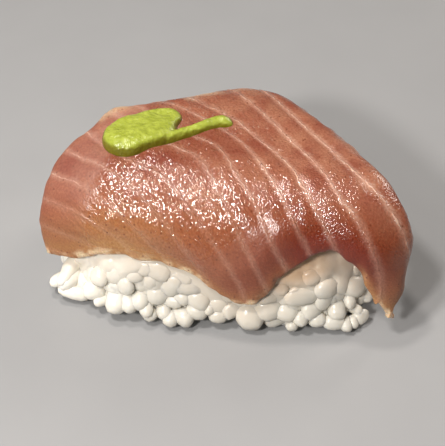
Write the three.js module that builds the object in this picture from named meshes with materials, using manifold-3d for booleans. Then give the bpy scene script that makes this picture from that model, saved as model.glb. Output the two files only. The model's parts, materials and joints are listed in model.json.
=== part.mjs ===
// A slice of raw fish draped over a hand-pressed bed of rice, with a dab of wasabi on top.
//
// Millimetres, +Z up. The origin is the middle of the bed's flat base, +X runs along the bed
// towards the slice's pointed tip, and +Y points away from the slice's long wavy edge.

import * as THREE from 'three';
import { mergeVertices } from 'three/addons/utils/BufferGeometryUtils.js';
import Module from 'manifold-3d';

const wasm = await Module();
wasm.setup();

// Driving dimensions

const clearance = 0.3; // between two pieces that touch
const ceiling = 60; // above everything, for cutting tools that reach upwards

const bed = {
  halfLength: 29.6,
  halfWidth: 16.7,
  squareness: 3.4, // exponent of the outline: 2 is an ellipse, more is boxier
  turn: 3, // degrees, of the bed under the slice
  height: 24, // of the whole mound, before the slice presses into it
  widestAt: 3,
  foot: 0.94, // size of the base against the widest level
  lump: 0.45, // height of the lumps that the grains make
  around: 84,
  levels: [0, 0.8, 3, 5, 7, 9, 11, 13, 15, 17, 19, 21],
};

// Grains that stand out of the bed: middle, then degrees of turn and of dip
const grain = { halfLength: 3.2, halfWidth: 1.6 };
const strayGrains = [
  { at: [-27.2, -12.9, 4.2], turn: 215, dip: 18 },
  { at: [-14.6, -16.3, 2.4], turn: 250, dip: 25 },
  { at: [-4.4, -16.9, 2.3], turn: 285, dip: 20 },
  { at: [9.2, -15.6, 2.3], turn: 265, dip: 20 },
  { at: [25.8, -13.1, 2.2], turn: 300, dip: 15 },
  { at: [27.6, -8.6, 4.0], turn: 335, dip: 10 },
];

// The slice is drawn flat, measured from the middle of its crown, and then draped: it lies level
// along the crown and bends down on each side between the distances `from` and `to`.
const slice = {
  crown: { x: 4.2, y: 3.8, z: 24.4, halfLength: 19, sharpness: 5 },
  front: { from: 3, to: 24, slope: 72 },
  back: { from: 4, to: 30, slope: 52 },
  right: { from: 0, to: 21, slope: 78 },
  left: { from: 1, to: 28, slope: 66 },
  thickness: 4.2,
  edge: 4, // how far in from the rim the full thickness is reached
  columns: 42,
  rows: 22,
};
const bendSteps = 24;

// The slice's outline, corner to corner
const frontEdge = [
  [-38.8, -22.4], [-31, -24.6], [-23.8, -24.2], [-15.8, -24.3], [-8.2, -26.3], [-2.2, -29.2], [1.8, -30.3],
  [6.4, -27.2], [12.2, -21.9], [17.8, -19.2], [22.8, -20.6], [28.2, -25.2], [32.8, -27.6], [36.2, -27.6],
];
const rightEdge = [
  [36.2, -27.6], [36, -19], [33.4, -11.4], [27.4, -5.8], [19.4, 1.4], [11.2, 9.2], [2.2, 18.2],
];
const backEdge = [[-31, -3.8], [-28, 0.6], [-25.6, 5.6], [-19.2, 8.6], [-12.8, 12], [-5.2, 17], [2.2, 18.2]];
const leftEdge = [[-38.8, -22.4], [-38.8, -16.6], [-35.6, -10.2], [-31, -3.8]];

// The dab, drawn flat on the slice: a pressed pad, and the tail that it was smeared out to
const pad = {
  middle: [-18.2, -0.8],
  outline: [
    [-24.5, -3.2], [-23.9, 0], [-20.4, 2.8], [-16.5, 5], [-13.2, 5.5], [-11.7, 3.4],
    [-12.1, -0.4], [-14.4, -3.8], [-17.8, -6.4], [-21.4, -7],
  ],
  height: 2.4,
  flatness: 4, // exponent of the pad's section: 2 is round, more is flatter on top
  columns: 28,
  rows: 6,
};
const tail = {
  line: [[-15, -2.2], [-11.6, -0.2], [-8.4, 2.1], [-5.6, 4.1], [-2.8, 3.7]],
  length: 14,
  halfWidth: 1.2,
  height: 1.5,
  columns: 14,
  rows: 6,
};

// Curves

/** The point at t, from 0 to 1, on a smooth curve through the points. */
function through(points, t, closed = false) {
  const count = closed ? points.length : points.length - 1;
  const place = (i) => {
    if (closed) return points[(i + points.length) % points.length];
    if (i < 0) return points[0].map((value, k) => 2 * value - points[1][k]);
    if (i > count) return points[count].map((value, k) => 2 * value - points[count - 1][k]);
    return points[i];
  };
  const i = Math.min(Math.floor(t * count), count - 1);
  const f = t * count - i;
  const [a, b, c, d] = [place(i - 1), place(i), place(i + 1), place(i + 2)];
  return b.map((value, k) => {
    const slope = (c[k] - a[k]) * f;
    const curve = (2 * a[k] - 5 * value + 4 * c[k] - d[k]) * f ** 2;
    const twist = (3 * value - a[k] - 3 * c[k] + d[k]) * f ** 3;
    return value + (slope + curve + twist) / 2;
  });
}

/** A step with level ends, from 0 below 0 to 1 above 1. */
const eased = (x) => THREE.MathUtils.smoothstep(x, 0, 1);

/** Positions from 0 to 1, close together at both ends. */
const spread = (i, count) => 0.5 - 0.5 * Math.cos((Math.PI * i) / count);

/** The height, from 0 to 1, of an edge rounded over the given width. */
const rounded = (distance, width) => Math.sqrt(1 - (1 - Math.min(distance / width, 1)) ** 2);

// The draped slice

/** The slice's middle surface above the flat place (s, t). */
function draped(s, t) {
  const { crown, front, back, right, left } = slice;
  const along = s / crown.halfLength;
  const onCrown = s / (1 + Math.abs(along) ** crown.sharpness) ** (1 / crown.sharpness);
  const distance = Math.hypot(s - onCrown, t) + 1e-9;
  const across = (s - onCrown) / distance;
  const away = t / distance;
  const sides = [
    [away < 0 ? front : back, away ** 2],
    [across > 0 ? right : left, across ** 2],
  ];
  const blend = (key) => sides.reduce((sum, [side, share]) => sum + side[key] * share, 0);
  const from = blend('from');
  const to = blend('to');
  const slope = THREE.MathUtils.degToRad(blend('slope'));
  let out = 0;
  let down = 0;
  for (let k = 0; k < bendSteps; k += 1) {
    const reached = (distance * (k + 0.5)) / bendSteps;
    const angle = slope * eased((reached - from) / (to - from));
    out += (Math.cos(angle) * distance) / bendSteps;
    down += (Math.sin(angle) * distance) / bendSteps;
  }
  return new THREE.Vector3(crown.x + onCrown + across * out, crown.y + away * out, crown.z - down);
}

/** The point that stands off the slice's middle surface by the given height. */
function offSlice([s, t], height) {
  const reach = 0.05;
  const alongS = draped(s + reach, t).sub(draped(s - reach, t));
  const alongT = draped(s, t + reach).sub(draped(s, t - reach));
  return draped(s, t).addScaledVector(alongS.cross(alongT).normalize(), height);
}

/** The flat place inside the four edges, at u from left to right and v from front to back. */
function flatPlace(u, v) {
  const [front, back] = [through(frontEdge, u), through(backEdge, u)];
  const [left, right] = [through(leftEdge, v), through(rightEdge, v)];
  return [0, 1].map((k) => {
    const sides = (1 - v) * front[k] + v * back[k] + (1 - u) * left[k] + u * right[k];
    const nearCorners = (1 - u) * frontEdge[0][k] + u * frontEdge.at(-1)[k];
    const farCorners = (1 - u) * backEdge[0][k] + u * backEdge.at(-1)[k];
    return sides - (1 - v) * nearCorners - v * farCorners;
  });
}

/** The slice's thickness at (u, v), rounded off towards the rim. */
function thicknessAt(u, v) {
  const span = (a, b) => Math.hypot(a[0] - b[0], a[1] - b[1]);
  const fromEnds = Math.min(u, 1 - u) * span(through(leftEdge, v), through(rightEdge, v));
  const fromSides = Math.min(v, 1 - v) * span(through(frontEdge, u), through(backEdge, u));
  return slice.thickness * rounded(fromEnds, slice.edge) * rounded(fromSides, slice.edge);
}

/** A grid of points over the whole slice, each at the height that heightAt gives. */
function overSlice(heightAt) {
  return Array.from({ length: slice.columns + 1 }, (_, i) => (
    Array.from({ length: slice.rows + 1 }, (__, j) => {
      const u = spread(i, slice.columns);
      const v = spread(j, slice.rows);
      return offSlice(flatPlace(u, v), heightAt(u, v));
    })
  ));
}

// Solids from grids

/** A closed body from four-cornered patches, given as lists of points. */
function bodyOf(patches) {
  const corners = patches.flatMap(([a, b, c, d]) => [a, b, c, a, c, d]);
  const loose = new THREE.BufferGeometry().setFromPoints(corners);
  const merged = mergeVertices(loose, 1e-4);
  const index = merged.getIndex().array;
  const kept = [];
  for (let i = 0; i < index.length; i += 3) {
    const [a, b, c] = index.slice(i, i + 3);
    if (a !== b && b !== c && c !== a) kept.push(a, b, c);
  }
  merged.setIndex(kept);
  return merged;
}

/** The patches of a grid, facing along column direction x row direction, or back if flipped. */
function patchesOf(grid, flipped = false) {
  const patches = [];
  for (let i = 0; i + 1 < grid.length; i += 1) {
    for (let j = 0; j + 1 < grid[i].length; j += 1) {
      const patch = [grid[i][j], grid[i + 1][j], grid[i + 1][j + 1], grid[i][j + 1]];
      patches.push(flipped ? patch.reverse() : patch);
    }
  }
  return patches;
}

/** The solid between an upper and a lower grid, with walls round the rim unless it is a disc. */
function between(upper, lower, disc = false) {
  const wall = (top, bottom, flipped) => patchesOf([top, bottom], flipped);
  const row = (grid, j) => grid.map((column) => column.at(j));
  const walls = [wall(row(upper, 0), row(lower, 0), false), wall(row(upper, -1), row(lower, -1), true)];
  if (!disc) walls.push(wall(upper[0], lower[0], true), wall(upper.at(-1), lower.at(-1), false));
  return bodyOf([...patchesOf(upper), ...patchesOf(lower, true), ...walls.flat()]);
}

/** The body grown outwards by the given distance. */
function grown(geometry, distance) {
  const larger = geometry.clone();
  larger.computeVertexNormals();
  const position = larger.getAttribute('position');
  const normal = larger.getAttribute('normal');
  for (let i = 0; i < position.count; i += 1) {
    const point = new THREE.Vector3().fromBufferAttribute(position, i);
    point.addScaledVector(new THREE.Vector3().fromBufferAttribute(normal, i), distance);
    position.setXYZ(i, point.x, point.y, point.z);
  }
  return larger;
}

function toSolid(geometry) {
  const bare = geometry.clone();
  bare.deleteAttribute('normal');
  bare.deleteAttribute('uv');
  const merged = mergeVertices(bare, 1e-4);
  const vertProperties = new Float32Array(merged.getAttribute('position').array);
  const triVerts = new Uint32Array(merged.getIndex().array);
  return new wasm.Manifold(new wasm.Mesh({ numProp: 3, vertProperties, triVerts }));
}

function toGeometry(solid) {
  const { vertProperties, triVerts } = solid.getMesh();
  const geometry = new THREE.BufferGeometry();
  geometry.setAttribute('position', new THREE.BufferAttribute(vertProperties, 3));
  geometry.setIndex(new THREE.BufferAttribute(triVerts, 1));
  return geometry;
}

// The three pieces

function sliceGeometry() {
  const upper = overSlice((u, v) => thicknessAt(u, v) / 2);
  const lower = overSlice((u, v) => -thicknessAt(u, v) / 2);
  return between(upper, lower);
}

/** Everything above the slice's middle surface. */
function aboveSlice() {
  const lower = overSlice(() => 0);
  const upper = lower.map((column) => column.map((point) => point.clone().setZ(ceiling)));
  return between(upper, lower);
}

/** The mound's size at a level, against its widest level: a quarter ellipse above that. */
function moundScale(z) {
  if (z < bed.widestAt) return bed.foot + (1 - bed.foot) * rounded(z, bed.widestAt);
  return Math.sqrt(1 - ((z - bed.widestAt) / (bed.height - bed.widestAt)) ** 2);
}

/** A point on the mound's lumpy, boxy outline at a level. */
function moundPoint(angle, z) {
  const across = Math.cos(angle);
  const away = Math.sin(angle);
  const squared = Math.abs(across) ** bed.squareness + Math.abs(away) ** bed.squareness;
  const reach = squared ** (-1 / bed.squareness) * moundScale(z);
  const broadLumps = Math.sin(13 * angle + 1.1 * z) * Math.cos(5 * angle - 0.9 * z);
  const lumps = bed.lump * (broadLumps + 0.6 * Math.sin(29 * angle - z));
  const x = (bed.halfLength * reach + lumps) * across;
  const y = (bed.halfWidth * reach + lumps) * away;
  const point = new THREE.Vector3(x, y, z);
  return point.applyAxisAngle(new THREE.Vector3(0, 0, 1), THREE.MathUtils.degToRad(bed.turn));
}

function moundGeometry() {
  const sides = Array.from({ length: bed.around + 1 }, (_, i) => {
    const angle = (2 * Math.PI * (i % bed.around)) / bed.around;
    const foot = new THREE.Vector3(0, 0, 0);
    const top = new THREE.Vector3(0, 0, bed.height);
    return [foot, ...bed.levels.map((z) => moundPoint(angle, z)), top];
  });
  return bodyOf(patchesOf(sides));
}

function strayGrain({ at, turn, dip }) {
  const geometry = new THREE.IcosahedronGeometry(1, 1);
  geometry.scale(grain.halfLength, grain.halfWidth, grain.halfWidth);
  geometry.rotateY(THREE.MathUtils.degToRad(dip));
  geometry.rotateZ(THREE.MathUtils.degToRad(turn));
  geometry.translate(...at);
  return geometry;
}

/** The mound and its stray grains, cut back to clear the slice that lies on them. */
function bedGeometry(draping) {
  const pressed = toSolid(grown(draping, clearance)).add(toSolid(aboveSlice()));
  const joined = (heap, stray) => heap.add(toSolid(strayGrain(stray)));
  const heap = strayGrains.reduce(joined, toSolid(moundGeometry()));
  return toGeometry(heap.subtract(pressed));
}

/** A grid on the dab: its floor is just off the slice, and heightAt(i, j) stands on that. */
function onSlice(columns, rows, placeAt, heightAt) {
  const floor = slice.thickness / 2 + clearance;
  return Array.from({ length: columns + 1 }, (_, i) => (
    Array.from({ length: rows + 1 }, (__, j) => offSlice(placeAt(i, j), floor + heightAt(i, j)))
  ));
}

/** The pad: rings from its middle out to its rim, with a level top that rounds down at the side. */
function padGeometry() {
  const { columns, rows, middle, outline, height, flatness } = pad;
  const out = (j) => Math.sin((Math.PI * j) / 2 / rows);
  const placeAt = (i, j) => {
    const rim = through(outline, (i % columns) / columns, true);
    return rim.map((value, k) => middle[k] + (value - middle[k]) * out(j));
  };
  const upper = onSlice(columns, rows, placeAt, (i, j) => height * (1 - out(j) ** flatness) ** 0.5);
  const lower = onSlice(columns, rows, placeAt, () => 0);
  return between(upper, lower, true);
}

/** The tail: a half-round strip along its line, rounded off at both ends. */
function tailGeometry() {
  const { columns, rows, line, length, halfWidth, height } = tail;
  const step = 0.01;
  const sideways = (j) => -Math.cos((Math.PI * j) / rows);
  const taper = (i) => rounded(Math.min(spread(i, columns), 1 - spread(i, columns)) * length, halfWidth);
  const placeAt = (i, j) => {
    const along = spread(i, columns);
    const here = through(line, along);
    const before = through(line, Math.max(along - step, 0));
    const after = through(line, Math.min(along + step, 1));
    const run = Math.hypot(after[0] - before[0], after[1] - before[1]);
    const out = (halfWidth * sideways(j) * taper(i)) / run;
    return [here[0] - out * (after[1] - before[1]), here[1] + out * (after[0] - before[0])];
  };
  const heightAt = (i, j) => height * taper(i) * Math.sqrt(1 - sideways(j) ** 2);
  const upper = onSlice(columns, rows, placeAt, heightAt);
  const lower = onSlice(columns, rows, placeAt, () => 0);
  return between(upper, lower);
}

function dabGeometry() {
  return toGeometry(toSolid(padGeometry()).add(toSolid(tailGeometry())));
}

function piece(name, geometry, color, roughness) {
  const material = new THREE.MeshStandardMaterial({ color, roughness, metalness: 0, flatShading: true });
  const mesh = new THREE.Mesh(geometry, material);
  mesh.name = name;
  return mesh;
}

const fish = sliceGeometry();
const nigiri = new THREE.Group();
nigiri.add(piece('rice_bed', bedGeometry(fish), '#e6dfcb', 0.5));
nigiri.add(piece('fish_slice', fish, '#b57256', 0.35));
nigiri.add(piece('wasabi_dab', dabGeometry(), '#b8bf56', 0.55));

export default nigiri;
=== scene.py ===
import json
import math

import bpy
import numpy as np
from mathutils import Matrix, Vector


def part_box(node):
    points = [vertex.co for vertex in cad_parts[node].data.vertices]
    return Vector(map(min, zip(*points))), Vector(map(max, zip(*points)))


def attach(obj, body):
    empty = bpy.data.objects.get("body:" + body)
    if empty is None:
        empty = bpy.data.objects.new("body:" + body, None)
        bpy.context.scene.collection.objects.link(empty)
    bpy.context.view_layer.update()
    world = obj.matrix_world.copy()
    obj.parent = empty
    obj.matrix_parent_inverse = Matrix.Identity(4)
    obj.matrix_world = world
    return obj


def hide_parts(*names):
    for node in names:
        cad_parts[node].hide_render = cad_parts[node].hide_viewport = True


# Nigiri: a bed of pressed rice, a draped slice of raw fish and a smear of wasabi.
# Shapes are worked out in millimetres and put into the meshes in metres.
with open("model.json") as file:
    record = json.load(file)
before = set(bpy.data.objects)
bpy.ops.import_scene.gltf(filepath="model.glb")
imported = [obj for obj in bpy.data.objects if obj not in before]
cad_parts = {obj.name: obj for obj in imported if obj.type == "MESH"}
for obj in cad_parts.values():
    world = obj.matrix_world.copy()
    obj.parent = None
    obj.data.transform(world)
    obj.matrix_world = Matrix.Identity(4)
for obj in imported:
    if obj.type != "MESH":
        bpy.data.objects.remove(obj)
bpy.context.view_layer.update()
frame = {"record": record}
scene = bpy.context.scene
mm = 0.001
bodyName = "root"
sliceBox = np.array(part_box("fish_slice")) / mm
restPoint = np.array(frame["record"]["mounts"][0]["pos_m"]) / mm  # middle of the flat base


# 3x^2 - 2x^3 between 0 and 1, level at both ends
def eased(x):
    x = np.clip(x, 0, 1)
    return x * x * (3 - 2 * x)


# 0 up to the start and 1 from the end on, eased in between; the end may lie below the start
def ramp(x, start, end):
    return eased((x - start) / (end - start))


# height of a quarter ellipse: sqrt(1 - (1 - distance / width)^2), 1 past the width
def rounded(distance, width):
    return np.sqrt(np.clip(1 - (1 - np.clip(distance / width, 0, 1)) ** 2, 0, 1))


# soft bell: exp(-(x / width)^2)
def bell(x, width=1.0):
    return np.exp(-(x / width) ** 2)


# soft spot on flat places: a bell over the distance from (x, y), counted in its own reach each way
def spot(flat, x, y, reachX, reachY):
    return bell(np.hypot((flat[..., 0] - x) / reachX, (flat[..., 1] - y) / reachY))


# vectors divided by their lengths
def unit(vectors):
    return vectors / np.linalg.norm(vectors, axis=-1, keepdims=True)


# cubic through the points, each a place on the curve at even steps of t from 0 to 1;
# each stretch leaves a point along the line between its two neighbours
def through(points, t, closed=False):
    places = np.asarray(points, float)
    if closed:
        count = len(places)
        padded = np.vstack([places[-1:], places, places[:2]])
    else:
        count = len(places) - 1
        padded = np.vstack([2 * places[0] - places[1], places, 2 * places[-1] - places[-2]])
    index = np.clip((t * count).astype(int), 0, count - 1)
    f = (t * count - index)[..., None]
    a, b, c, d = (padded[index + k] for k in range(4))
    curve = (2 * a - 5 * b + 4 * c - d) * f ** 2
    return b + ((c - a) * f + curve + (3 * b - a - 3 * c + d) * f ** 3) / 2


# value noise from -1 to 1: random corner values of a unit lattice, blended by eased steps;
# flat places lie between two of its layers
def noiseAt(points, size, seed):
    count = 32
    corners = np.random.default_rng(seed).uniform(-1, 1, (count, count, count))
    places = np.asarray(points, float) / size
    if places.shape[-1] == 2:
        places = np.concatenate([places, np.full(places.shape[:-1] + (1,), 0.37)], -1)
    low = np.floor(places).astype(int)
    f = eased(places - low)
    total = 0
    for corner in np.ndindex(2, 2, 2):
        i, j, k = ((low[..., n] + corner[n]) % count for n in range(3))
        weight = np.prod([f[..., n] if corner[n] else 1 - f[..., n] for n in range(3)], axis=0)
        total = total + weight * corners[i, j, k]
    return total


# four-cornered faces of a grid of vertex numbers, facing first direction x second direction
def gridFaces(numbers):
    corners = [numbers[:-1, :-1], numbers[1:, :-1], numbers[1:, 1:], numbers[:-1, 1:]]
    return np.stack(corners, -1).reshape(-1, 4)


# faces of a sheet, with the cell at each corner split from the corner, so that two sheets on one rim
# share no face
def sheetFaces(numbers):
    last = numbers.shape[1] - 2
    quads = np.delete(gridFaces(numbers), [0, last, -1 - last, -1], 0)
    corners = [np.rot90(numbers, k)[:2, :2] for k in range(4)]
    halves = [(c[0, 0], c[1, 0], c[1, 1], c[0, 0], c[1, 1], c[0, 1]) for c in corners]
    return [quads, np.reshape(halves, (-1, 3))]


# several shapes as one: points stacked, faces renumbered; a shape is its points and its face arrays
def joined(shapes):
    starts = np.cumsum([0] + [len(points) for points, parts in shapes])
    faces = [face for (points, parts), start in zip(shapes, starts)
             for part in parts for face in (part + start).tolist()]
    return np.concatenate([points for points, parts in shapes]), faces


# one property of all vertices, edges or corners, as rows of numbers
def readRows(elements, name, wide, kind=float):
    rows = np.zeros(len(elements) * wide, kind)
    elements.foreach_get(name, rows)
    return rows.reshape(-1, wide)


# a smooth-shaded mesh object from points in millimetres
def makePiece(name, points, faces, material):
    mesh = bpy.data.meshes.new(name)
    mesh.from_pydata((points * mm).tolist(), [], faces)
    mesh.polygons.foreach_set("use_smooth", np.ones(len(mesh.polygons), bool))
    mesh.materials.append(material)
    mesh.update()
    piece = bpy.data.objects.new(name, mesh)
    scene.collection.objects.link(piece)
    return piece


# one number for each point, for the materials to read
def addAttributes(piece, attributes):
    for name, values in attributes.items():
        layer = piece.data.attributes.new(name, "FLOAT", "POINT")
        layer.data.foreach_set("value", values.astype(np.float32).ravel())


# sRGB hex to linear RGBA: ((c + 0.055) / 1.055)^2.4 above the straight foot
def linear(hexColour):
    values = [int(hexColour[k:k + 2], 16) / 255 for k in (1, 3, 5)]
    curved = [v / 12.92 if v <= 0.04045 else ((v + 0.055) / 1.055) ** 2.4 for v in values]
    return (*curved, 1)


# adds a shader node: settings are its properties; links give its sockets a value, a socket or another
# node, whose first output in use is meant
def addNode(tree, kind, links=None, **settings):
    made = tree.nodes.new("ShaderNode" + kind)
    for key, value in settings.items():
        setattr(made, key, value)
    for socket, source in (links or {}).items():
        if isinstance(source, bpy.types.Node):
            source = next(output for output in source.outputs if output.enabled)
        if isinstance(source, bpy.types.NodeSocket):
            tree.links.new(source, made.inputs[socket])
        else:
            made.inputs[socket].default_value = source
    return made


# a material from a function that builds its nodes and returns what the shader's sockets get
def makeMaterial(name, build):
    material = bpy.data.materials.new(name)
    material.use_nodes = True
    tree = material.node_tree
    tree.nodes.clear()
    shader = addNode(tree, "BsdfPrincipled", build(tree))
    addNode(tree, "OutputMaterial", {"Surface": shader})
    return material


fishLook = {
    "darkFlesh": "#8e5441",
    "lightFlesh": "#a37058",
    "drape": "#9a6040",
    # tan: painted light showing through thin flesh
    "tanLitThrough": "#b2834f",
    # deep red, partly painted shade over the arch's hollow and at the left end
    "deep": "#702102",
    "tendon": "#ecccb8",
    # rim: painted highlight and light through the thin front rim; also the pale skins along the back
    "rim": "#e8cfa9",
    "grain": "#dccfc8",
    "speck": "#683521",
    "speckShare": 0.24,  # of the cells of the speck pattern
    "roughness": (0.72, 0.05),  # dry, wet
    "beadHeight": 0.00024,  # metres
    "beadTurn": -0.9,  # radians from the slice's length
    "clearness": 0.5,
}


# Raw fish, cut with a knife: flesh that light sinks into, pale where the tendon sheets meet the surface,
# under a wet film that breaks the lamps up into glints
def rawFish(tree):
    look = fishLook
    flat = addNode(tree, "UVMap", uv_map="flat")
    # millimetres on the flat slice, 50 at the middle of the crown
    at = addNode(tree, "Mapping", {"Vector": flat, "Scale": (100, 100, 100)})
    low, tanLitThrough, deep, band, cord, litRimAndSkins, wet = (
        addNode(tree, "Attribute", attribute_name=name).outputs["Fac"]
        for name in ("low", "tanLitThrough", "deep", "band", "cord", "litRimAndSkins", "wet"))
    # off the nearest tendon in bands of 4.6 mm: distance from the nearest whole number, frayed by noise
    fray = addNode(tree, "TexNoise", {"Vector": at, "Scale": 0.8, "Detail": 4.0})
    frayed = addNode(tree, "Math", {0: fray, 1: 0.2, 2: band}, operation="MULTIPLY_ADD")
    centred = addNode(tree, "Math", {0: frayed, 1: 0.1}, operation="SUBTRACT")
    offLine = addNode(tree, "Math", {0: centred, 1: 0.5}, operation="PINGPONG")
    core = addNode(tree, "MapRange", {"Value": offLine, "From Min": 0.045, "From Max": 0.012})
    spread = {"Value": offLine, "From Min": 0.22, "From Max": 0.0, "To Max": 0.36}
    haze = addNode(tree, "MapRange", spread, interpolation_type="SMOOTHSTEP")
    veil = addNode(tree, "Math", {0: haze, 1: cord}, operation="MULTIPLY")
    # each thread is broken into dashes, and fades down the drape
    gaps = addNode(tree, "TexNoise", {"Vector": at, "Scale": 0.5, "Detail": 3.0})
    broken = addNode(tree, "MapRange", {"Value": gaps, "From Min": 0.38, "From Max": 0.6})
    thread = addNode(tree, "Math", {0: core, 1: broken}, operation="MULTIPLY")
    crisp = addNode(tree, "MapRange", {"Value": low, "To Min": 1.0, "To Max": 0.35})
    shown = addNode(tree, "Math", {0: crisp, 1: cord}, operation="MULTIPLY")
    line = addNode(tree, "Math", {0: thread, 1: shown}, operation="MULTIPLY")
    pale = addNode(tree, "Math", {0: line, 1: veil}, operation="MAXIMUM")
    # flesh in two tones over about 5 mm, then the tones laid over it one by one
    cloud = addNode(tree, "TexNoise", {"Vector": at, "Scale": 0.2, "Detail": 4.0})
    cloudy = addNode(tree, "MapRange", {"Value": cloud, "From Min": 0.35, "From Max": 0.65})
    tones = {0: cloudy, 6: linear(look["darkFlesh"]), 7: linear(look["lightFlesh"])}
    flesh = addNode(tree, "Mix", tones, data_type="RGBA")
    # the tan is painted light through thin flesh, the deep red partly painted shade, the rim tone painted
    # highlight
    for share, tone in ((low, "drape"), (tanLitThrough, "tanLitThrough"), (deep, "deep"), (pale, "tendon"), (litRimAndSkins, "rim")):
        tones = {0: share, 6: flesh, 7: linear(look[tone])}
        flesh = addNode(tree, "Mix", tones, data_type="RGBA")
    # the grain of the flesh, 0.4 mm across
    grain = addNode(tree, "TexNoise", {"Vector": at, "Scale": 2.4, "Detail": 4.0})
    grained = addNode(tree, "MapRange", {"Value": grain, "From Min": 0.3, "From Max": 0.7})
    tones = {0: grained, 6: linear(look["grain"]), 7: linear("#ffffff")}
    shade = addNode(tree, "Mix", tones, data_type="RGBA")
    tones = {0: 1.0, 6: flesh, 7: shade}
    flesh = addNode(tree, "Mix", tones, data_type="RGBA", blend_type="MULTIPLY")
    # small dark specks about 0.4 mm across, in one cell of four
    cells = addNode(tree, "TexVoronoi", {"Vector": at, "Scale": 0.6}, voronoi_dimensions="2D")
    chosen = addNode(tree, "SeparateColor", {"Color": cells.outputs["Color"]})
    rare = addNode(tree, "Math", {0: chosen, 1: look["speckShare"]}, operation="LESS_THAN")
    mark = addNode(tree, "MapRange", {"Value": cells, "From Min": 0.15, "From Max": 0.02})
    speck = addNode(tree, "Math", {0: mark, 1: rare}, operation="MULTIPLY")
    tones = {0: speck, 6: flesh, 7: linear(look["speck"])}
    flesh = addNode(tree, "Mix", tones, data_type="RGBA")
    # the film: beads of 0.5 by 0.8 mm, drawn out on the slant, give way to ones of 0.3 mm from the middle
    # to the right, and each tendon is a ridge
    slant = {"Vector": flat, "Rotation": (0, 0, look["beadTurn"]), "Scale": (1 / 80, 1 / 120, 1)}
    drawn = addNode(tree, "Mapping", slant, vector_type="TEXTURE")
    beading = {"Vector": drawn, "Scale": 1.6, "Detail": 1.0, "Distortion": 0.8}
    beads = addNode(tree, "TexNoise", beading)
    fine = addNode(tree, "TexNoise", {"Vector": at, "Scale": 3.0, "Detail": 1.0})
    lower = addNode(tree, "Math", {0: fine, 1: 0.55}, operation="MULTIPLY")
    apart = addNode(tree, "SeparateXYZ", {"Vector": at})
    rightward = addNode(tree, "MapRange", {"Value": apart, "From Min": 44.0, "From Max": 66.0})
    film = addNode(tree, "Mix", {0: rightward, 2: beads, 3: lower})
    ridged = addNode(tree, "Math", {0: thread, 1: 0.5, 2: film}, operation="MULTIPLY_ADD")
    dry, glossy = look["roughness"]
    gloss = addNode(tree, "MapRange", {"Value": wet, "To Min": dry, "To Max": glossy})
    depth = addNode(tree, "MapRange", {"Value": wet, "To Min": 0.4, "To Max": 1.0})
    relief = {"Height": ridged, "Strength": depth, "Distance": look["beadHeight"]}
    return {
        "Base Color": flesh,
        "Roughness": gloss,
        "Normal": addNode(tree, "Bump", relief),
        "IOR": 1.5,
        "Specular IOR Level": 0.8,
        "Subsurface Weight": look["clearness"],
        "Subsurface Radius": (1.0, 0.5, 0.35),
        "Subsurface Scale": mm,
    }


riceLook = {
    "grains": ("#edeae0", "#e2ddd1"),
    "shaded": "#a09d93",
    # painted warm light and shade from the fish above
    "fishLightAndShadeTone": "#cfa271",
    "roughness": 0.25,
    "starchHeight": 0.0001,  # metres
    "clearness": 0.3,
    "lightDepth": 0.0006,
}


# Cooked short-grain rice, steamed and pressed: starchy white, moist and a little see-through, with painted
# warm light and shade where the fish lies on it and painted grey shade under its edge
def cookedRice(tree):
    look = riceLook
    fishLightAndShade, tint, shade = (
        addNode(tree, "Attribute", attribute_name=name).outputs["Fac"]
        for name in ("fishLightAndShade", "tint", "shade"))
    tones = {0: tint, 6: linear(look["grains"][0]), 7: linear(look["grains"][1])}
    colour = addNode(tree, "Mix", tones, data_type="RGBA")
    # painted grey shade under the slice's edge, then painted warm light and shade from the fish
    for share, tone in ((shade, "shaded"), (fishLightAndShade, "fishLightAndShadeTone")):
        tones = {0: share, 6: colour, 7: linear(look[tone])}
        colour = addNode(tree, "Mix", tones, data_type="RGBA")
    # starch on the skin, about 1 mm across
    place = addNode(tree, "TexCoord").outputs["Object"]
    starch = addNode(tree, "TexNoise", {"Vector": place, "Scale": 900.0, "Detail": 2.0})
    relief = {"Height": starch, "Strength": 0.5, "Distance": look["starchHeight"]}
    return {
        "Base Color": colour,
        "Roughness": look["roughness"],
        "Normal": addNode(tree, "Bump", relief),
        "IOR": 1.45,
        "Subsurface Weight": look["clearness"],
        "Subsurface Radius": (1.0, 0.85, 0.65),
        "Subsurface Scale": look["lightDepth"],
    }


wasabiLook = {
    "paste": ("#848e2e", "#9ea844"),
    # painted shade on the steep flanks
    "flankShade": "#65600c",
    "roughness": 0.25,
    "gritHeight": 0.0002,  # metres
    "clearness": 0.25,
}


# Grated wasabi worked to a paste: yellow-green in clouds, moist, finely gritty, painted olive shade down its
# flanks
def wasabiPaste(tree):
    look = wasabiLook
    place = addNode(tree, "TexCoord").outputs["Object"]
    flankShade = addNode(tree, "Attribute", attribute_name="flankShade").outputs["Fac"]
    cloud = addNode(tree, "TexNoise", {"Vector": place, "Scale": 800.0, "Detail": 4.0})
    clouded = addNode(tree, "MapRange", {"Value": cloud, "From Min": 0.25, "From Max": 0.65})
    tones = {0: clouded, 6: linear(look["paste"][0]), 7: linear(look["paste"][1])}
    colour = addNode(tree, "Mix", tones, data_type="RGBA")
    # painted shade darkens the steep flanks to olive
    tones = {0: flankShade, 6: colour, 7: linear(look["flankShade"])}
    colour = addNode(tree, "Mix", tones, data_type="RGBA")
    # grit 0.7 mm across
    grit = addNode(tree, "TexNoise", {"Vector": place, "Scale": 1500.0, "Detail": 2.0})
    relief = {"Height": grit, "Strength": 1.0, "Distance": look["gritHeight"]}
    return {
        "Base Color": colour,
        "Roughness": look["roughness"],
        "Normal": addNode(tree, "Bump", relief),
        "Subsurface Weight": look["clearness"],
        "Subsurface Radius": (1.0, 1.0, 0.2),
        "Subsurface Scale": mm,
    }


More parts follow.
